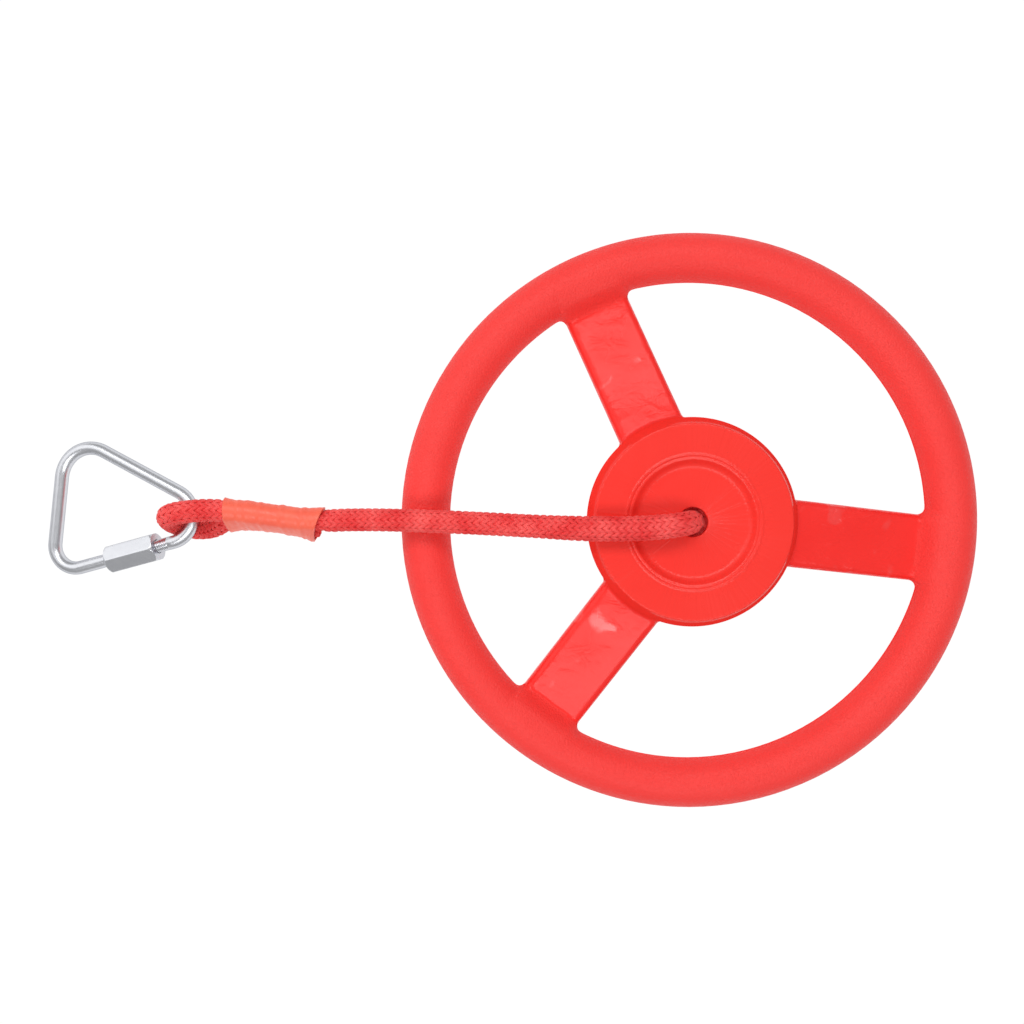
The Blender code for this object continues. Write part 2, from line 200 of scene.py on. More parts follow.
make_camera()
make_world()
make_floor()
for name, settings in SOFTBOXES.items():
    make_softbox(name, *settings)
bpy.context.scene.view_settings.view_transform = "Standard"

# %% [markdown]
# ## Shared shapes
#
# `flow` threads a smooth curve through the route's points. `carry_frames` turns a frame along it
# without twist, and `sweep` builds a closed tube whose radius may change along it and round it.

# %%


def flow(points, spacing):
    """Points along a smooth curve through the given points, one every spacing or so."""
    knots = [Vector(p) for p in points]
    knots = [2 * knots[0] - knots[1]] + knots + [2 * knots[-1] - knots[-2]]
    path = []
    for a, b, c, d in zip(knots, knots[1:], knots[2:], knots[3:]):
        count = max(1, round((c - b).length / spacing))
        for k in range(count):
            t = k / count
            path.append(0.5 * (2 * b + (c - a) * t + (2 * a - 5 * b + 4 * c - d) * t**2
                               + (3 * b - a - 3 * c + d) * t**3))
    path.append(knots[-2])
    return np.array(path)


def lengths_along(path):
    return np.concatenate([[0.0], np.cumsum(np.linalg.norm(np.diff(path, axis=0), axis=1))])


def carry_frames(path):
    """Tangents, and two directions across them that turn as little as they can."""
    tangents = np.gradient(path, axis=0)
    tangents /= np.linalg.norm(tangents, axis=1)[:, None]
    side = Vector(tangents[0]).orthogonal().normalized()
    across = []
    for index, tangent in enumerate(tangents):
        if index:
            side.rotate(Vector(tangents[index - 1]).rotation_difference(Vector(tangent)))
        across.append(tuple(side))
    across = np.array(across)
    across -= tangents * np.sum(across * tangents, axis=1)[:, None]
    across /= np.linalg.norm(across, axis=1)[:, None]
    return tangents, across, np.cross(tangents, across)


def mesh_object(name, points, faces, material):
    mesh = bpy.data.meshes.new(name)
    mesh.from_pydata([tuple(p) for p in points], [], faces)
    mesh.validate()
    mesh.shade_smooth()
    obj = bpy.data.objects.new(name, mesh)
    bpy.context.scene.collection.objects.link(obj)
    if material:
        mesh.materials.append(material)
    return obj


def grid_faces(rows, columns, offset=0, caps=True, closed=False):
    """Quads of a tube of rows rings with columns points each, with its two end caps."""
    faces = []
    for i in range(rows if closed else rows - 1):
        a, b = offset + i * columns, offset + (i + 1) % rows * columns
        for j in range(columns):
            k = (j + 1) % columns
            faces.append((a + j, a + k, b + k, b + j))
    if caps and not closed:
        faces.append(tuple(offset + j for j in reversed(range(columns))))
        faces.append(tuple(offset + (rows - 1) * columns + j for j in range(columns)))
    return faces


def sweep(name, path, radius_at, around, material):
    """A tube along the path. radius_at takes arrays of lengths and angles."""
    _, across, up = carry_frames(path)
    angles = 2 * pi * np.arange(around) / around
    radii = radius_at(lengths_along(path)[:, None], angles[None, :]) * np.ones((len(path), around))
    ring = across[:, None] * np.cos(angles)[None, :, None] + up[:, None] * np.sin(angles)[None, :, None]
    points = path[:, None] + radii[..., None] * ring
    return mesh_object(name, points.reshape(-1, 3), grid_faces(len(path), around), material)


def join(first, *others):
    """Put the others' meshes into the first's."""
    shape = bmesh.new()
    shape.from_mesh(first.data)
    for other in others:
        shape.from_mesh(other.data)
        bpy.data.objects.remove(other, do_unlink=True)
    shape.to_mesh(first.data)
    shape.free()
    return first


# %% [markdown]
# ## The rope's route
#
# The rope comes up through the hub's hole, bends over the hub, sags towards the rim, and turns round
# the link's wire. Its tail comes back under the lead, inside the sleeve, where both are pressed.

# %%
ROPE_DIAMETER = 12.0 * MM
PRESSED, PRESSED_TAPER = 0.79, 6 * MM            # share of the free width under the sleeve
SWELL, SWELL_MIDDLE, SWELL_REACH = 0.09, -38 * MM, 34 * MM
ROUTE_STEP = 2.5 * MM
BEND_ROUTE = [(-1.1, 0.0, 31.0), (-1.2, 0.0, 32.2), (-2.6, -0.2, 35.5), (-5.1, -0.6, 38.9),
              (-8.8, -1.1, 41.2), (-13.0, -1.7, 42.0)]
LEAD_ROUTE = [(-21.0, -2.4, 42.2), (-30.0, -2.9, 42.2), (-42.0, -3.1, 42.1),
              (-54.0, -3.0, 41.8), (-66.0, -2.6, 41.2), (-78.0, -2.0, 40.5), (-92.0, -1.3, 39.4),
              (-106.0, -0.6, 38.0), (-120.0, 0.0, 36.4), (-134.0, 0.5, 34.7), (-148.0, 0.9, 32.9),
              (-162.0, 1.1, 31.1), (-176.0, 1.0, 29.6)]
SLEEVE_LEAD = [(-187.0, 0.6, 28.8), (-200.0, 0.9, 28.3), (-213.0, 2.6, 28.0), (-226.0, 4.4, 27.9),
               (-240.0, 5.6, 28.2)]
EYE_ROUTE = [(-247.5, 5.9, 28.8), (-254.0, 5.6, 29.3), (-260.5, 4.9, 29.0), (-266.0, 3.9, 26.9),
             (-269.7, 2.6, 22.9), (-270.6, 1.0, 18.0), (-269.6, -0.9, 13.0), (-266.2, -2.7, 8.8),
             (-260.8, -3.9, 6.7), (-254.5, -3.9, 7.6), (-248.5, -2.7, 11.0), (-244.0, -0.6, 15.0)]
SLEEVE_TAIL = [(-239.5, 1.2, 18.2), (-226.0, 1.6, 18.0), (-213.0, 0.0, 18.2), (-200.0, -2.2, 18.6),
               (-191.5, -3.8, 18.9)]
SLEEVE_FROM, SLEEVE_TO = -188.0 * MM, -238.5 * MM


def in_metres(points):
    return [Vector(p) * MM for p in points]


def pressed_share(x):
    """The rope's width as a share of its free width: thinner under the sleeve, fuller over the hub."""
    margin = PRESSED_TAPER / 2
    inside = np.minimum(SLEEVE_FROM + margin - x, x - SLEEVE_TO + margin) / PRESSED_TAPER
    swell = SWELL * np.exp(-((x - SWELL_MIDDLE) / SWELL_REACH) ** 4)
    return (1.0 + swell) - (1.0 - PRESSED) * np.clip(inside, 0.0, 1.0)


# %% [markdown]
# ## Braid
#
# Thirty-two strands wind round a core, half of them each way. A strand that winds one way rides high
# in every second column and low in the next, and the others do the opposite. That gives the
# herringbone: columns of dashes that lean left and right in turn.

# %%
STRANDS_EACH_WAY = 16
LAY_LENGTH = 57 * MM
STRAND_WIDTH, STRAND_THICKNESS = 1.0 * MM, 0.62 * MM   # half sizes
STRAND_RISE = 0.5 * MM
STRAND_SIDES, CORE_SIDES = 6, 16
CROSSING_SHARPNESS = 1.8             # how quickly a strand dips from high to low
CORE_GAP = 0.25 * MM
FIBRES_PER_METRE, STRAND_SHIFT = 250, 7.3        # give each strand its own stretch of fibre pattern


def braid(name, path, material, step=1.25 * MM):
    """Strands and core of a braided rope along a path, as one mesh with a fibre attribute."""
    run = lengths_along(path)
    samples = np.linspace(0.0, run[-1], max(8, int(run[-1] / step)))
    centre = np.stack([np.interp(samples, run, path[:, k]) for k in range(3)], axis=1)
    _, across, up = carry_frames(centre)
    share = pressed_share(centre[:, 0])
    middle = ROPE_DIAMETER / 2 - STRAND_THICKNESS - STRAND_RISE
    points, faces, fibre = [], [], []
    section = 2 * pi * np.arange(STRAND_SIDES) / STRAND_SIDES
    for way in (1, -1):
        for strand in range(STRANDS_EACH_WAY):
            angle = 2 * pi * ((strand + 0.25 * way) / STRANDS_EACH_WAY + way * samples / LAY_LENGTH)
            columns = np.cos(STRANDS_EACH_WAY / 2 * angle)
            ride = way * np.tanh(CROSSING_SHARPNESS * columns) / np.tanh(CROSSING_SHARPNESS)
            radial = across * np.cos(angle)[:, None] + up * np.sin(angle)[:, None]
            line = centre + radial * ((middle + STRAND_RISE * ride) * share)[:, None]
            heading = np.gradient(line, axis=0)
            heading /= np.linalg.norm(heading, axis=1)[:, None]
            sideways = np.cross(radial, heading)
            sideways /= np.linalg.norm(sideways, axis=1)[:, None]
            wide = (STRAND_WIDTH * np.cos(section))[None, :, None] * share[:, None, None]
            thick = (STRAND_THICKNESS * np.sin(section))[None, :, None]
            ring = line[:, None] + sideways[:, None] * wide + radial[:, None] * thick
            faces += grid_faces(len(samples), STRAND_SIDES, len(points) * len(samples) * STRAND_SIDES)
            points.append(ring.reshape(-1, 3))
            along = np.repeat(samples, STRAND_SIDES)
            turn = np.tile(section, len(samples))
            shifted = along * FIBRES_PER_METRE + STRAND_SHIFT * strand + way
            fibre.append(np.stack([shifted, np.cos(turn) * 2, np.sin(turn) * 2], axis=1))
    rope = mesh_object(name, np.concatenate(points), faces, material)
    attribute = rope.data.attributes.new("fibre", "FLOAT_VECTOR", "POINT")
    attribute.data.foreach_set("vector", np.concatenate(fibre).ravel())

    def core_radius(length, _):
        return (middle - CORE_GAP) * np.interp(length, samples, share)

    return join(rope, sweep(name + "_core", centre[::3], core_radius, CORE_SIDES, material))


# %% [markdown]
# ## Rope, knot and lashing
#
# Above the hole the rope bends from the foot, which turns about the wheel's axle line, to the lead,
# which lifts. The knot under the hub is an overhand knot of the same braid.

# %%


def rope_material():
    material, tree, shader = new_material("red_rope", (0.68, 0.02, 0.02), 0.62)
    fibre = add_node(tree, "ShaderNodeAttribute", attribute_name="fibre").outputs["Vector"]
    threads = noise(tree, fibre, 3.0, 4.0, 0.4)
    patches = noise(tree, object_coords(tree), 90.0, 2.0)
    # The rope's colour runs from dark red to pale pink. Part of it is the fibres' own uneven tone and part
    # is painted highlight and painted shade, scattered by noise along the fibres.
    fibre_tone_and_painted_light = spread(tree, multiply(tree, threads, patches), 0.12, 0.42, 0.0, 1.0)
    feed(tree, shader, {"Base Color": mix_colours(tree, fibre_tone_and_painted_light, (0.78, 0.018, 0.020), (1.0, 0.130, 0.120)),
                        "Roughness": spread(tree, threads, 0.3, 0.7, 0.5, 0.75),
                        "Normal": bump(tree, threads, 0.00012, 0.6)})
    shader.inputs["Sheen Weight"].default_value = 0.25
    shader.inputs["Sheen Roughness"].default_value = 0.4
    shader.inputs["Sheen Tint"].default_value = (1.0, 0.45, 0.42, 1.0)
    shader.inputs["Specular IOR Level"].default_value = 0.35
    return material


def thread_material():
    material, tree, shader = new_material("white_thread", (0.8, 0.78, 0.74), 0.7)
    ply = noise(tree, object_coords(tree, (900, 3200, 3200)), 1.0, 3.0)
    feed(tree, shader, {"Base Color": mix_colours(tree, ply, (0.70, 0.67, 0.62), (0.88, 0.87, 0.84)),
                        "Normal": bump(tree, ply, 0.00008, 0.6)})
    return material


def overhand_knot():
    """A half knot's centreline under the hub, from the neck down to the tail."""
    lobe, rise, middle, steps = 3.9 * MM, 5.6 * MM, 12.7 * MM, 30
    turns = [2 * pi * (0.06 + 0.88 * k / steps) for k in range(steps + 1)]
    loop = [Vector((lobe * (sin(t) + 2 * sin(2 * t)), lobe * (cos(t) - 2 * cos(2 * t)),
                    middle - rise * sin(3 * t))) for t in turns]
    return in_metres([(0.0, 0.0, 30.4), (0.0, 0.0, 24.5)]) + loop


def make_rope():
    material = rope_material()
    route = in_metres(BEND_ROUTE + LEAD_ROUTE + SLEEVE_LEAD + EYE_ROUTE + SLEEVE_TAIL)
    path = flow(route, ROUTE_STEP)
    rope = braid("braided_rope", path, material)
    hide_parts("rope_bend", "rope_lead")
    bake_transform(rope)
    knot = braid("stopper_knot_rope", flow(overhand_knot(), ROUTE_STEP), material, 2.0 * MM)
    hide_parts("stopper_knot")
    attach(knot, "rope_foot")
    return rope, path


rope, rope_path = make_rope()
print("rope length", round(lengths_along(rope_path)[-1], 4))
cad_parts["eye_lashing"].data.materials.clear()
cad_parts["eye_lashing"].data.materials.append(thread_material())

# %% [markdown]
# ## Heat-shrink sleeve
#
# The wall follows both rope legs. It has shrunk over them, so soft ridges cross it, its surface pulls
# in between the legs, and its two ends are cut with a slightly raised lip.

# %%
SLEEVE_OFFSET = 1.85 * MM            # outer wall over the pressed rope
SLEEVE_WALL = 0.7 * MM
SLEEVE_SLANT = 0.42                  # how far the cut end leans, as a share of its width
SLANT_PIVOT, SLANT_REACH = 6 * MM, 0.4
FLANK_STEEPNESS = 2.2                # above 1, the flanks between the two arcs are straight
RIDGE_HEIGHT, RIDGE_WAVES = 0.10 * MM, (5.3, 9.1, 13.7, 3.1)
LIP_HEIGHT, LIP_REACH = 0.35 * MM, 0.03


def leg_places(x):
    """Centres of the two rope legs under the sleeve, as (y, z), at a given x."""
    places = []
    for leg in (SLEEVE_LEAD, SLEEVE_TAIL):
        knots = sorted(in_metres(leg), key=lambda p: p.x)
        along = [k.x for k in knots]
        places.append(Vector([np.interp(x, along, [k[axis] for k in knots]) for axis in (1, 2)]))
    return places


def sleeve_ring(x, offset, around, slant):
    """One loop of the sleeve's wall: an arc round each leg, joined by straight flanks."""
    upper, lower = leg_places(x)
    along = (upper - lower).normalized()
    side = Vector((along.y, -along.x))
    radius = ROPE_DIAMETER / 2 * PRESSED + offset
    ring = []
    half = (upper - lower).length / 2
    for k in range(around):
        angle = 2 * pi * k / around
        flank = max(-1.0, min(1.0, FLANK_STEEPNESS * sin(angle)))
        arc = radius * (cos(angle) * side + sin(angle) * along)
        place = (upper + lower) / 2 + along * half * flank + arc
        ring.append((x + slant * (place.x - SLANT_PIVOT), place.x, place.y))
    return ring


def sleeve_material():
    material, tree, shader = new_material("salmon_sleeve", (0.95, 0.165, 0.085), 0.45)
    coords = object_coords(tree)
    film = noise(tree, coords, 160.0, 3.0, 0.3)
    fine = bump(tree, noise(tree, coords, 1500.0, 2.0), 0.00005, 0.5)
    feed(tree, shader, {"Base Color": mix_colours(tree, film, (0.92, 0.105, 0.058), (0.99, 0.165, 0.092)),
                        "Roughness": spread(tree, noise(tree, coords, 420.0), 0.3, 0.7, 0.32, 0.48),
                        "Normal": bump(tree, film, 0.0004, 0.45, fine)})
    return material


def make_sleeve():
    around, stations = 72, 90
    phases = np.random.default_rng(11).uniform(0, 2 * pi, 4).tolist()
    outside, inside = [], []
    for k in range(stations):
        t = k / (stations - 1)
        x = SLEEVE_FROM + (SLEEVE_TO - SLEEVE_FROM) * t
        ridges = RIDGE_HEIGHT * sum(sin(2 * pi * t * f + p) for f, p in zip(RIDGE_WAVES, phases))
        lip = LIP_HEIGHT * (exp(-(t / LIP_REACH) ** 2) + exp(-((1 - t) / LIP_REACH) ** 2))
        slant = SLEEVE_SLANT * max(0.0, 1 - t / SLANT_REACH) ** 1.5
        outside.append(sleeve_ring(x, SLEEVE_OFFSET + ridges + lip, around, slant))
        inside.append(sleeve_ring(x, SLEEVE_OFFSET - SLEEVE_WALL, around, slant))
    rings = outside + inside[::-1]
    points = [p for ring in rings for p in ring]
    faces = grid_faces(len(rings), around, closed=True)
    sleeve = mesh_object("shrunk_sleeve", points, faces, sleeve_material())
    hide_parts("heat_shrink_sleeve")
    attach(sleeve, "lead")
    return sleeve


sleeve = make_sleeve()

# %% [markdown]
# ## Screw link
#
# Seven millimetre wire bent to a triangle, with a rolled thread on the two ends that meet inside the
# nut. The nut is a long hexagon with chamfered ends.

# %%
WIRE_RADIUS = 3.5 * MM
LINK_SIDE, LINK_BASE = 110.0 * MM, 77.4 * MM
EYE_CORNER, FAR_CORNER, NEAR_CORNER = 14.0 * MM, 17.0 * MM, 12.0 * MM
LINK_APEX = Vector((-258.5, 1.2, 17.8)) * MM
LINK_HEADING, LINK_TILT = radians(-6.1), radians(10.5)
STUB_END, ROD_END = 53.6 * MM, 64.6 * MM
NUT_NEAR, NUT_LENGTH = 46.6 * MM, 28.0 * MM
NUT_ACROSS_FLATS, NUT_ROLL = 14.0 * MM, radians(24)
NUT_ROWS = (0.0, 0.15, 0.4, 0.8, 1.2, 1.6, 2.0)      # heights over its end, in millimetres
NUT_BORE_GAP, CHAMFER_START, CHAMFER_SLOPE = 0.3 * MM, 0.05 * MM, 0.75
NUT_CORNER = 1.14                                    # rounded corner, as a share of half the flats
THREAD_PITCH, THREAD_DEPTH, THREAD_RUN = 1.0 * MM, 0.45 * MM, 14.0 * MM
HALF_EYE_ANGLE = asin(LINK_BASE / 2 / LINK_SIDE)


def link_frame():
    turn = Matrix.Rotation(LINK_HEADING, 4, "Z") @ Matrix.Rotation(-LINK_TILT, 4, "Y")
    return Matrix.Translation(LINK_APEX) @ turn


def link_corners():
    """Sharp corners of the flat triangle: the eye's, then the base's near and far ones."""
    eye = Vector((EYE_CORNER * (1 / sin(HALF_EYE_ANGLE) - 1), 0.0, 0.0))
    reach = LINK_SIDE * cos(HALF_EYE_ANGLE)
    return eye, eye + Vector((-reach, -LINK_BASE / 2, 0.0)), eye + Vector((-reach, LINK_BASE / 2, 0.0))


def corner_arc(before, corner, after, radius, count):
    """Points along a bend of the given radius that rounds off a corner."""
    a, b = (before - corner).normalized(), (after - corner).normalized()
    half = a.angle(b) / 2
    centre = corner + (a + b).normalized() * radius / sin(half)
    first = corner + a * radius / tan(half) - centre
    sign = 1 if first.cross(corner + b * radius / tan(half) - centre).z > 0 else -1
    turn = pi - 2 * half
    return [centre + Matrix.Rotation(sign * turn * k / count, 3, "Z") @ first for k in range(count + 1)]


def zinc_material():
    material, tree, shader = new_material("zinc_plating", (0.78, 0.79, 0.80), 0.2, 1.0)
    # The dark edge tint paints shade into the metal's glancing reflections, so the wire's and nut's edges
    # stay darker than the white floor they mirror.
    shader.inputs["Specular Tint"].default_value = (0.42, 0.43, 0.47, 1.0)
    coords = object_coords(tree)
    cloud = noise(tree, coords, 140.0, 4.0)
    scratches = noise(tree, object_coords(tree, (300, 1400, 1400)), 1.0, 3.0)
    feed(tree, shader, {"Base Color": mix_colours(tree, cloud, (0.63, 0.64, 0.68), (0.73, 0.74, 0.77)),
                        "Roughness": spread(tree, noise(tree, coords, 700.0, 4.0), 0.3, 0.7, 0.29, 0.34),
                        "Normal": bump(tree, scratches, 0.00002, 0.12)})
    return material


def densify(points, spacing):
    """Add evenly spaced points along a polyline."""
    path = []
    for a, b in zip(points, points[1:]):
        count = max(1, round((b - a).length / spacing))
        path += [a.lerp(b, k / count) for k in range(count)]
    return path + [points[-1]]


def make_link(material):
    eye, near, far = link_corners()
    along = (near - eye).normalized()
    stub = densify([eye + along * STUB_END, eye + along * (STUB_END - THREAD_RUN)], THREAD_PITCH / 8)
    path = stub + corner_arc(near, eye, far, EYE_CORNER, 36)
    path += corner_arc(eye, far, near, FAR_CORNER, 32) + corner_arc(far, near, eye, NEAR_CORNER, 28)
    path.append(eye + along * ROD_END)
    path = np.array([link_frame() @ p for p in path])

    def radius_at(length, angle):
        turn = (length / THREAD_PITCH + angle / (2 * pi)) % 1.0
        groove = THREAD_DEPTH * np.abs(2 * turn - 1)
        run_out = np.clip((THREAD_RUN - length) / MM, 0, 1)
        return WIRE_RADIUS - groove * run_out

    link = sweep("screw_link_wire", path, radius_at, 40, material)
    link.data.set_sharp_from_angle(angle=radians(50))
    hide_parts("link_body")
    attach(link, "link")
    return link


def make_nut(material):
    """Rings of a hexagon that is trimmed by a cone at each end, and a bore through it."""
    eye, near, _ = link_corners()
    along = (near - eye).normalized()
    around, half, flat = 96, NUT_LENGTH / 2, NUT_ACROSS_FLATS / 2
    heights = [-half + h * MM for h in NUT_ROWS] + [0.0]
    heights += [-h for h in reversed(heights[:-1])]
    bore = WIRE_RADIUS + NUT_BORE_GAP
    rings = [(-half, lambda a: bore)]
    for height in heights:
        cone = flat + CHAMFER_START + (half - abs(height)) * CHAMFER_SLOPE

        def hexagon(a, cone=cone):
            return min(flat / cos((a + pi / 6) % (pi / 3) - pi / 6), cone, flat * NUT_CORNER)

        rings.append((height, hexagon))
    rings.append((half, lambda a: bore))
    place = eye + along * (NUT_NEAR + half)
    facing = Matrix.Translation(place) @ along.to_track_quat("Z", "X").to_matrix().to_4x4()
    matrix = link_frame() @ facing @ Matrix.Rotation(NUT_ROLL, 4, "Z")
    points = []
    for height, radius in rings:
        for k in range(around):
            angle = 2 * pi * k / around
            reach = radius(angle)
            points.append(matrix @ Vector((reach * cos(angle), reach * sin(angle), height)))
    nut = mesh_object("hexagon_nut", points, grid_faces(len(rings), around, closed=True), material)
    nut.data.set_sharp_from_angle(angle=radians(18))
    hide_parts("link_nut")
    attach(nut, "nut")
    return nut


ZINC = zinc_material()
link = make_link(ZINC)
nut = make_nut(ZINC)
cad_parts["hub_washer"].data.materials.clear()
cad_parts["hub_washer"].data.materials.append(ZINC)

# %% [markdown]
# ## The wheel as a distance field
#
# Rim, spokes and hub are one moulding with a fillet at each junction. `wheel_distance` says how far a
# point is from that rounded whole. The mesh is laid out as rings, a turned hub and three spoke sleeves,
# and then its points near a junction are slid onto the surface where the distance is 0.

# %%
TUBE_RADIUS = 12.75 * MM
RIM_RADIUS = 150 * MM - TUBE_RADIUS
RIM_HEIGHT = TUBE_RADIUS
HUB_RADIUS = 53.5 * MM
SPOKE_HEADINGS = [radians(-6.6 + 120 * k) for k in range(3)]
SPOKE_HALF_WIDTH = 17.4 * MM
SPOKE_CREASE, SPOKE_TOP_AT_CREASE, SPOKE_SLOPE = 119.4 * MM, 15.25 * MM, 1 / 6
SPOKE_THICKNESS, SPOKE_EDGE = 10.5 * MM, 4.2 * MM
RAMP_END, RAMP_TOP = 128.0 * MM, 21.4 * MM
RAMP_RISE = (RAMP_TOP - SPOKE_TOP_AT_CREASE) / (RAMP_END - SPOKE_CREASE)
SPOKE_FROM, SPOKE_TO = 30 * MM, 136 * MM             # where a spoke ends inside the hub and the rim
HUB_FILLET, RIM_FILLET = 1.8 * MM, 4.5 * MM
OUTLINE_STEP = 1.4 * MM

# The hub's outline: (radius, height, rounding) in millimetres, from the hole out and back underneath
HUB_OUTLINE = [
    (7.5, 31.0, 0.7), (28.7, 31.0, 9.0), (31.7, 34.5, 0.35), (32.5, 34.75, 0.25),
    (33.1, 34.55, 0.25), (33.9, 35.15, 0.3), (34.5, 35.3, 0.3), (35.3, 35.05, 0.8),
    (38.8, 35.25, 2.0), (49.8, 35.25, 0.9), (53.5, 28.2, 2.2), (53.5, 21.7, 4.0),
    (51.2, 12.75, 1.4), (33.0, 12.75, 1.2), (30.0, 27.0, 2.0), (7.5, 27.0, 0.6)]


def rounded_outline(corners, spacing):
    """The outline as closely spaced (radius, height) points, with each corner rounded."""
    flat = [Vector((r, z)) * MM for r, z, _ in corners]
    line = []
    for index, (_, _, radius) in enumerate(corners):
        before, corner, after = flat[index - 1], flat[index], flat[(index + 1) % len(flat)]
        a, b = (before - corner).normalized(), (after - corner).normalized()
        half = acos(max(-1.0, min(1.0, a.dot(b)))) / 2
        shorter = min((before - corner).length, (after - corner).length)
        cut = min(radius * MM / tan(half), 0.45 * shorter)
        start, end = corner + a * cut, corner + b * cut
        for k in range(5):
            t = k / 4
            line.append(start * (1 - t) ** 2 + corner * 2 * t * (1 - t) + end * t**2)
    dense = []
    for a, b in zip(line, line[1:] + line[:1]):
        count = max(1, round((b - a).length / spacing))
        dense += [a.lerp(b, k / count) for k in range(count)]
    return np.array(dense)


HUB_LINE = rounded_outline(HUB_OUTLINE, OUTLINE_STEP)


def hub_distance(points):
    """Signed distance to the turned hub, from its outline."""
    flat = np.stack([np.hypot(points[:, 0], points[:, 1]), points[:, 2]], axis=1)
    nearest = np.full(len(points), 1e9)
    inside = np.zeros(len(points), dtype=bool)
    for a, b in zip(HUB_LINE, np.roll(HUB_LINE, -1, axis=0)):
        edge = b - a
        share = np.clip((flat - a) @ edge / (edge @ edge), 0.0, 1.0)
        nearest = np.minimum(nearest, np.linalg.norm(flat - a - share[:, None] * edge, axis=1))
        crosses = (a[1] > flat[:, 1]) != (b[1] > flat[:, 1])
        if abs(edge[1]) > 1e-9:
            inside ^= crosses & (flat[:, 0] < a[0] + (flat[:, 1] - a[1]) * edge[0] / edge[1])
    return np.where(inside, -nearest, nearest)


def spoke_lines(x):
    """Heights of a spoke's top, ramp and underside at a distance x from the axle line."""
    top = SPOKE_TOP_AT_CREASE + (SPOKE_CREASE - x) * SPOKE_SLOPE
    ramp = SPOKE_TOP_AT_CREASE + (x - SPOKE_CREASE) * RAMP_RISE
    return top, ramp, np.maximum(top, SPOKE_TOP_AT_CREASE) - SPOKE_THICKNESS


def spoke_distance(points, heading):
    """Signed distance to one spoke: a rounded box that falls outwards, with a ramp up to the rim."""
    x = points[:, 0] * cos(heading) + points[:, 1] * sin(heading)
    y = points[:, 1] * cos(heading) - points[:, 0] * sin(heading)
    z = points[:, 2]
    level = 1 / sqrt(1 + SPOKE_SLOPE**2)
    top_line, ramp_line, underside = spoke_lines(x)
    ramp = np.maximum((z - ramp_line) / sqrt(1 + RAMP_RISE**2), z - RAMP_TOP)
    top = np.minimum((z - top_line) * level, ramp)
    height = np.maximum(top, (underside - z) * level) + SPOKE_EDGE
    width = np.abs(y) - SPOKE_HALF_WIDTH + SPOKE_EDGE
    outside = np.hypot(np.maximum(height, 0), np.maximum(width, 0))
    box = outside + np.minimum(np.maximum(height, width), 0)
    return np.maximum(box - SPOKE_EDGE, np.maximum(SPOKE_FROM - x, x - SPOKE_TO))


def rounded_union(a, b, radius):
    """The distance to both solids together, with a fillet where they meet."""
    corner = np.hypot(np.maximum(radius - a, 0), np.maximum(radius - b, 0))
    return np.maximum(radius, np.minimum(a, b)) - corner


def wheel_distance(points):
    reach = np.hypot(points[:, 0], points[:, 1])
    rim = np.hypot(reach - RIM_RADIUS, points[:, 2] - RIM_HEIGHT) - TUBE_RADIUS
    spokes = np.minimum.reduce([spoke_distance(points, heading) for heading in SPOKE_HEADINGS])
    return rounded_union(rounded_union(rim, spokes, RIM_FILLET), hub_distance(points), HUB_FILLET)


def slide_to_surface(points, rounds=7):
    """Walk the points down or up the distance's slope, a little at a time, until it is 0."""
    step, longest = 0.02 * MM, 1.5 * MM
    for _ in range(rounds):
        distance = wheel_distance(points)
        rises = [wheel_distance(points + step * axis) - wheel_distance(points - step * axis)
                 for axis in np.eye(3)]
        slope = np.stack(rises, axis=1) / (2 * step)
        size = np.maximum(np.sum(slope**2, axis=1), 0.2)
        points = points - np.clip(distance, -longest, longest)[:, None] * slope / size[:, None]
    return points


# %% [markdown]
# ## The wheel's mesh
#
# Columns round the hub and the rim are close together where a spoke meets them and the same number
# at both, so the spoke's sleeve of quads joins an opening in the hub's wall to one in the rim's tube.

# %%
ACROSS, BETWEEN, DEEP = 36, 52, 12   # columns across a spoke, between two, and rows down its side
RIM_ROWS, STATIONS = 48, 46          # rows round the rim's tube, and loops along a spoke
JOIN_TOP, JOIN_BOTTOM, BELOW_JOIN = 27.3 * MM, 14.6 * MM, 14.2 * MM
WALL_FROM, RIM_JOIN_RADIUS = 50 * MM, 125 * MM
RIM_OPENING = radians(45)            # the opening's half angle round the tube
SLIDE_FROM, SLIDE_TO, SLIDE_BESIDE = 49.9 * MM, 137 * MM, 12 * MM
EASE = 0.88                          # how much the columns bunch up next to a spoke
STATION_EASE = 0.55


def column_angles(radius):
    """Headings of the columns: even steps across each spoke, and steps that grow away from it."""
    shares = np.arange(BETWEEN) / BETWEEN
    shares = EASE * (0.5 - 0.5 * np.cos(pi * shares)) + (1 - EASE) * shares
    half = asin(SPOKE_HALF_WIDTH / radius)
    angles = []
    for heading in SPOKE_HEADINGS:
        angles += [heading + asin(sin(half) * (2 * k / ACROSS - 1)) for k in range(ACROSS)]
        gap = radians(120) - 2 * half
        angles += [heading + half + gap * share for share in shares]
    return np.array(angles)


def hub_outline_rows():
    """The hub's outline with even rows down its wall, where spokes join, and the first such row."""
    wall = np.where(HUB_LINE[:, 0] > WALL_FROM)[0]
    first = next(i for i in wall if HUB_LINE[i, 1] < JOIN_TOP)
    last = next(i for i in wall if HUB_LINE[i, 1] < BELOW_JOIN)
    heights = np.linspace(HUB_LINE[first, 1], JOIN_BOTTOM, DEEP + 1)
    replaced = HUB_LINE[first:last + 1]
    radii = np.interp(-heights, -replaced[:, 1], replaced[:, 0])
    rows = np.stack([radii, heights], axis=1)
    return np.concatenate([HUB_LINE[:first], rows, HUB_LINE[last:]]), first


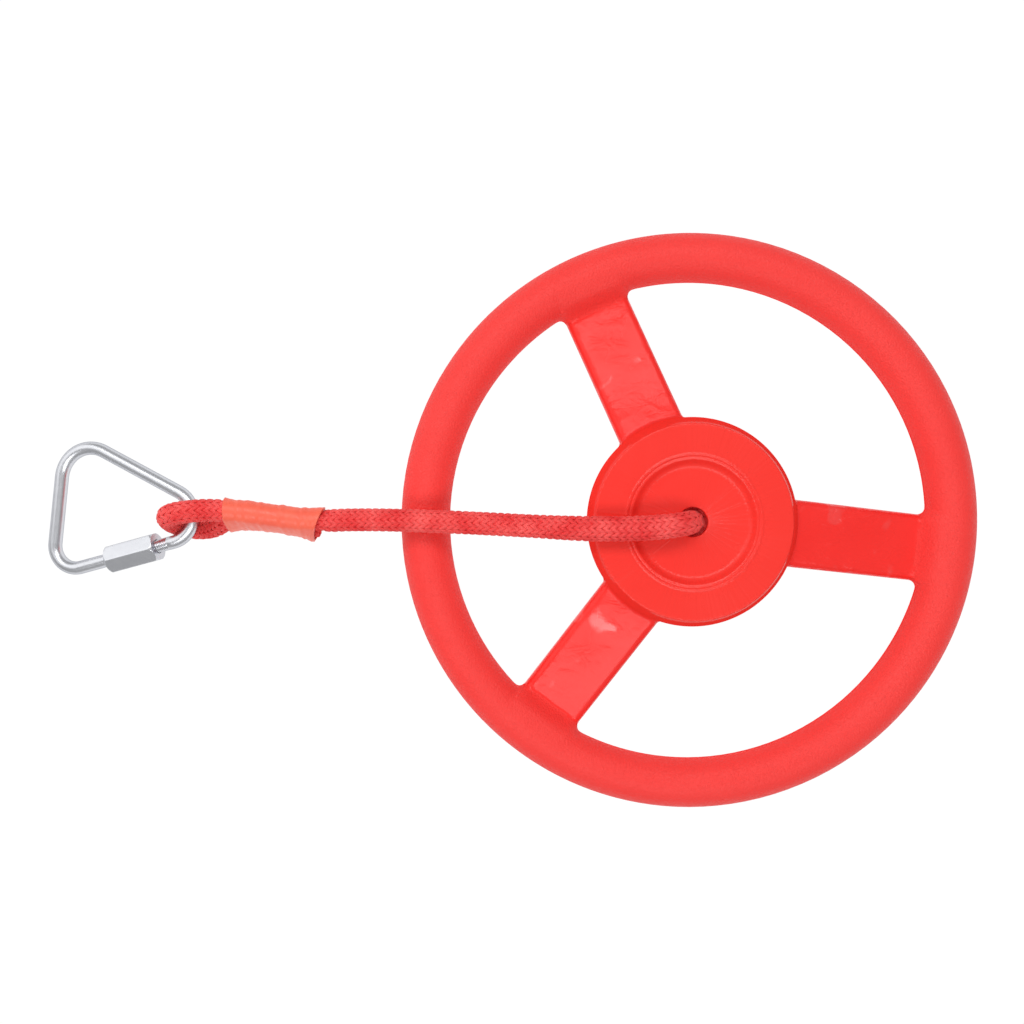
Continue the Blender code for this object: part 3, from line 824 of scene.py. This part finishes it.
def rim_outline_rows():
    """Points round the rim's tube: even rows down the opening first, then the rest of the tube."""
    inner = pi - RIM_OPENING + 2 * RIM_OPENING * np.arange(DEEP + 1) / DEEP
    rest = np.arange(1, RIM_ROWS - DEEP) / (RIM_ROWS - DEEP)
    minor = np.concatenate([inner, pi + RIM_OPENING + (2 * pi - 2 * RIM_OPENING) * rest])
    return np.stack([RIM_RADIUS + TUBE_RADIUS * np.cos(minor), RIM_HEIGHT + TUBE_RADIUS * np.sin(minor)],
                    axis=1)


def turned(outline, angles):
    """Every (radius, height) of the outline, turned to every angle."""
    return np.stack([outline[:, :1] * np.cos(angles), outline[:, :1] * np.sin(angles),
                     outline[:, 1:] * np.ones(len(angles))], axis=-1).reshape(-1, 3)


def ring_faces(rows, columns, start, open_from):
    """Quads of a closed grid, left out where a spoke joins."""
    faces = []
    for i in range(rows):
        for j in range(columns):
            in_opening = open_from <= i < open_from + DEEP and j % (ACROSS + BETWEEN) < ACROSS
            if not in_opening:
                k, n = (j + 1) % columns, (i + 1) % rows
                faces.append((start + i * columns + j, start + i * columns + k,
                              start + n * columns + k, start + n * columns + j))
    return faces


def opening_loop():
    """The way round an opening, as (row, column): along the top, down a side, back and up."""
    loop = [(0, j) for j in range(ACROSS)] + [(i, ACROSS) for i in range(DEEP)]
    return loop + [(DEEP, j) for j in range(ACROSS, 0, -1)] + [(i, 0) for i in range(DEEP, 0, -1)]


def spoke_rings(start, end, heading, shares):
    """Loops between the hub's opening and the rim's, at the heights of the spoke's top and underside."""
    even = np.linspace(0, 1, STATIONS)
    stations = STATION_EASE * (0.5 - 0.5 * np.cos(pi * even)) + (1 - STATION_EASE) * even
    rings = []
    for t in stations[1:-1]:
        ring = start + (end - start) * t
        top, ramp, bottom = spoke_lines(ring[:, 0] * cos(heading) + ring[:, 1] * sin(heading))
        ring[:, 2] = bottom + (np.maximum(top, ramp) - bottom) * shares
        rings.append(ring)
    return rings


def beside_spoke(points):
    """How far each point is from the nearest spoke's middle line, with the far side ruled out."""
    far_side = 1.0
    return np.min([np.abs(points[:, 1] * cos(h) - points[:, 0] * sin(h))
                   + far_side * (points[:, 0] * cos(h) + points[:, 1] * sin(h) < 0)
                   for h in SPOKE_HEADINGS], axis=0)


def make_wheel():
    hub_rows, join_row = hub_outline_rows()
    hub = turned(hub_rows, column_angles(HUB_RADIUS))
    rim = turned(rim_outline_rows(), column_angles(RIM_JOIN_RADIUS))
    columns, rim_start = 3 * (ACROSS + BETWEEN), len(hub)
    points = np.concatenate([hub, rim])
    hub_faces = [face[::-1] for face in ring_faces(len(hub_rows), columns, 0, join_row)]
    rim_faces = ring_faces(RIM_ROWS, columns, rim_start, 0)
    loop = opening_loop()
    shares = np.array([1 - i / DEEP for i, _ in loop])
    spoke_faces = []
    for spoke, heading in enumerate(SPOKE_HEADINGS):
        first = spoke * (ACROSS + BETWEEN)
        hub_ids = [(join_row + i) * columns + (first + j) % columns for i, j in loop]
        rim_ids = [rim_start + i * columns + (first + j) % columns for i, j in loop]
        ids = [hub_ids]
        for ring in spoke_rings(points[hub_ids], points[rim_ids], heading, shares):
            ids.append(list(range(len(points), len(points) + len(loop))))
            points = np.concatenate([points, ring])
        ids.append(rim_ids)
        for near, far in zip(ids, ids[1:]):
            for k in range(len(loop)):
                n = (k + 1) % len(loop)
                spoke_faces.append((near[k], far[k], far[n], near[n]))
    reach = np.hypot(points[:, 0], points[:, 1])
    moving = (reach > SLIDE_FROM) & (reach < SLIDE_TO)
    moving &= beside_spoke(points) < SPOKE_HALF_WIDTH + SLIDE_BESIDE
    points[moving] = slide_to_surface(points[moving])
    wheel = mesh_object("moulded_wheel", points, hub_faces + rim_faces + spoke_faces, None)
    return wheel, len(hub_faces), len(rim_faces)


# %% [markdown]
# ## Wheel materials
#
# The rim's mould is etched, so the rim is matt with a fine grain. Hub and spokes are glossy, and the
# spokes carry the creases that the hollow skin gets as it cools. The gloss fades out on the hub's wall
# and low on the rim, and it is strongest in a few polished spots on the spokes.

# %%
GLOSS = "Specular IOR Level"
GLOSS_FADE_LOW, GLOSS_FADE_HIGH = 12 * MM, 22 * MM       # heights on the rim
GLOSS_END, WALL_START = 49.8 * MM, 51 * MM               # radii at the hub's edge
# The hub's reds carry more green and blue than the spokes' reds: the plastic's own red with a painted sheen,
# which the hub's top would get from reflections.
HUB_REDS_WITH_PAINTED_SHEEN = ((0.93, 0.038, 0.028), (0.95, 0.042, 0.031))
SPOKE_REDS = ((0.90, 0.026, 0.021), (0.95, 0.034, 0.028))
HUB_SLOT, RIM_SLOT, SPOKE_SLOT = 0, 1, 2


def grained_plastic():
    material, tree, shader = new_material("rim_plastic", (0.93, 0.036, 0.030), 0.46)
    coords = object_coords(tree)
    height = add_node(tree, "ShaderNodeSeparateXYZ", {"Vector": coords}).outputs["Z"]
    cells = add_node(tree, "ShaderNodeTexVoronoi", {"Vector": coords}, scale=1150.0, feature="SMOOTH_F1")
    cloud = noise(tree, coords, 35.0, 3.0)
    # The base reds are the plastic's own uneven tone, lifted a little in green and blue as a painted sheen.
    feed(tree, shader, {GLOSS: spread(tree, height, GLOSS_FADE_LOW, GLOSS_FADE_HIGH, 0.0, 0.34),
                        "Base Color": mix_colours(tree, cloud, (0.90, 0.036, 0.031), (0.95, 0.050, 0.043)),
                        "Roughness": spread(tree, noise(tree, coords, 900.0, 2.0), 0.3, 0.7, 0.42, 0.56),
                        "Normal": bump(tree, cells.outputs["Distance"], 0.0006, 0.55)})
    return material


def glossy_plastic(name, reds):
    """The skin that hub and spokes share. Gives the material with its coordinates and its normal."""
    material, tree, shader = new_material(name, (0.93, 0.030, 0.024), 0.22)
    coords = object_coords(tree)
    cloud = noise(tree, coords, 28.0, 3.0, 0.6)
    feed(tree, shader, {"Base Color": mix_colours(tree, cloud, *reds),
                        "Roughness": spread(tree, cloud, 0.3, 0.7, 0.17, 0.30)})
    return material, tree, shader, coords, bump(tree, noise(tree, coords, 130.0, 2.0), 0.0003, 0.35)


def spoke_plastic():
    material, tree, shader, coords, skin = glossy_plastic("spoke_plastic", SPOKE_REDS)
    folds = noise(tree, object_coords(tree, (1.0, 1.6, 1.0)), 75.0, 4.0, 1.6)
    patches = spread(tree, noise(tree, coords, 22.0, 2.0), 0.48, 0.66, 0.0, 1.0)
    spots = noise(tree, coords, 65.0, 1.0, 0.5)
    feed(tree, shader, {"Normal": bump(tree, multiply(tree, folds, patches), 0.0020, 0.5, skin),
                        GLOSS: spread(tree, spots, 0.66, 0.72, 0.26, 0.95)})
    return material


def hub_plastic():
    """Glossy plastic with faint lines that run outwards, as it flowed in the mould."""
    # The hub's reds hold a painted sheen over the plastic's own red.
    material, tree, shader, coords, skin = glossy_plastic("hub_plastic", HUB_REDS_WITH_PAINTED_SHEEN)
    flat = object_coords(tree, (1.0, 1.0, 0.0))
    reach = add_node(tree, "ShaderNodeVectorMath", {"Vector": flat}, operation="LENGTH").outputs["Value"]
    turn = add_node(tree, "ShaderNodeTexGradient", {"Vector": coords}, gradient_type="RADIAL").outputs["Fac"]
    streaks = add_node(tree, "ShaderNodeTexNoise", {"W": multiply(tree, turn, 26.0)}, noise_dimensions="1D")
    feed(tree, shader, {"Normal": bump(tree, streaks.outputs["Fac"], 0.0006, 0.3, skin),
                        GLOSS: spread(tree, reach, GLOSS_END, WALL_START, 0.26, 0.0)})
    return material


def finish_wheel():
    wheel, hub_count, rim_count = make_wheel()
    mesh = wheel.data
    for material in (hub_plastic(), grained_plastic(), spoke_plastic()):
        mesh.materials.append(material)
    middles = np.empty(len(mesh.polygons) * 3)
    mesh.polygons.foreach_get("center", middles)
    middles = middles.reshape(-1, 3)
    reach = np.max([middles[:, 0] * cos(h) + middles[:, 1] * sin(h) for h in SPOKE_HEADINGS], axis=0)
    slots = np.where(reach > SPOKE_CREASE, RIM_SLOT, SPOKE_SLOT).astype(np.int32)
    slots[:hub_count] = HUB_SLOT
    slots[hub_count:hub_count + rim_count] = RIM_SLOT
    mesh.polygons.foreach_set("material_index", slots)
    mesh.update()
    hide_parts("wheel_moulding")
    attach(wheel, "wheel")


finish_wheel()
